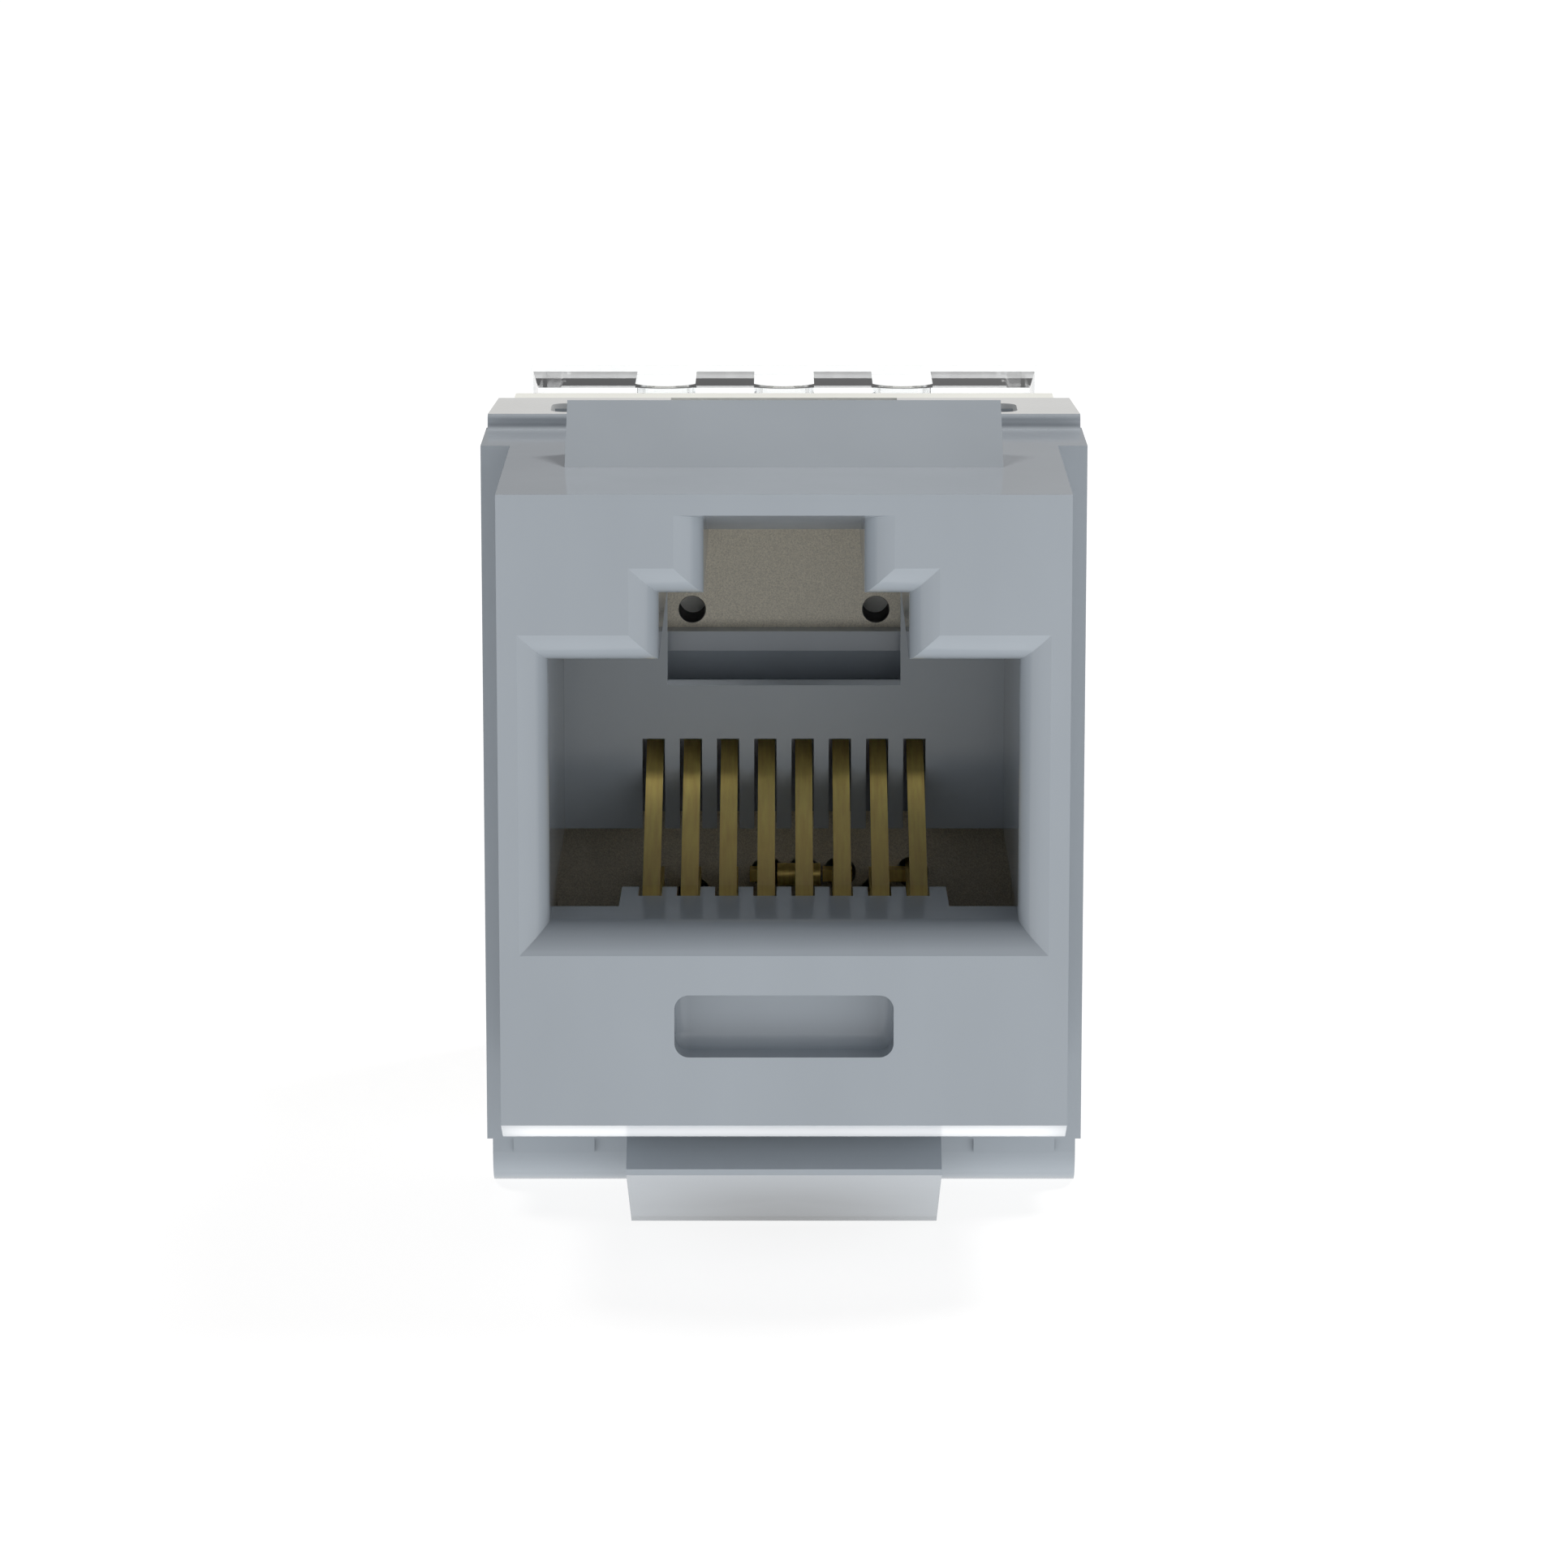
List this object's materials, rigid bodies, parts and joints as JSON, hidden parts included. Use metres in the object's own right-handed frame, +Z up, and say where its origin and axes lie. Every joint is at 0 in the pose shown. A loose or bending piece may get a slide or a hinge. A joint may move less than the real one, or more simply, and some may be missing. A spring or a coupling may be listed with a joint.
{
  "type": "keystone jack",
  "caption": "Snap-in keystone data jack with a stepped plug port, sprung contacts, a fixed lug and springing latch arm, punch-down terminals at the rear and a clear dust cap.",
  "frame": {"origin": "middle of the plug port, on the front face", "axes": "+X right seen from the front, +Y towards the rear, +Z up, with the plug's latch slot on top"},
  "size_m": [0.016, 0.0284, 0.0224],
  "materials": {
    "housing_plastic": "satin",
    "carrier_plastic": "matte",
    "contact_metal": "brushed",
    "board": "matte",
    "collar_plastic": "satin",
    "block_plastic": "satin",
    "terminal_metal": "brushed",
    "cap_plastic": "clear"
  },
  "bodies": {
    "jack": {"front_housing": "housing_plastic", "contact_carrier": "carrier_plastic", "contact_1": "contact_metal", "contact_2": "contact_metal", "contact_3": "contact_metal", "contact_4": "contact_metal", "contact_5": "contact_metal", "contact_6": "contact_metal", "contact_7": "contact_metal", "contact_8": "contact_metal", "circuit_board": "board", "rear_collar": "collar_plastic", "terminal_block": "block_plastic", "terminal_1": "terminal_metal", "terminal_2": "terminal_metal", "terminal_3": "terminal_metal", "terminal_4": "terminal_metal", "terminal_5": "terminal_metal", "terminal_6": "terminal_metal", "terminal_7": "terminal_metal", "terminal_8": "terminal_metal"},
    "cap": {"dust_cap": "cap_plastic"}
  },
  "joints": [
    {"name": "cap_pull", "type": "slide", "parent": "jack", "child": "cap", "axis": [0, 1, 0], "range_m": [0, 0.012]}
  ]
}
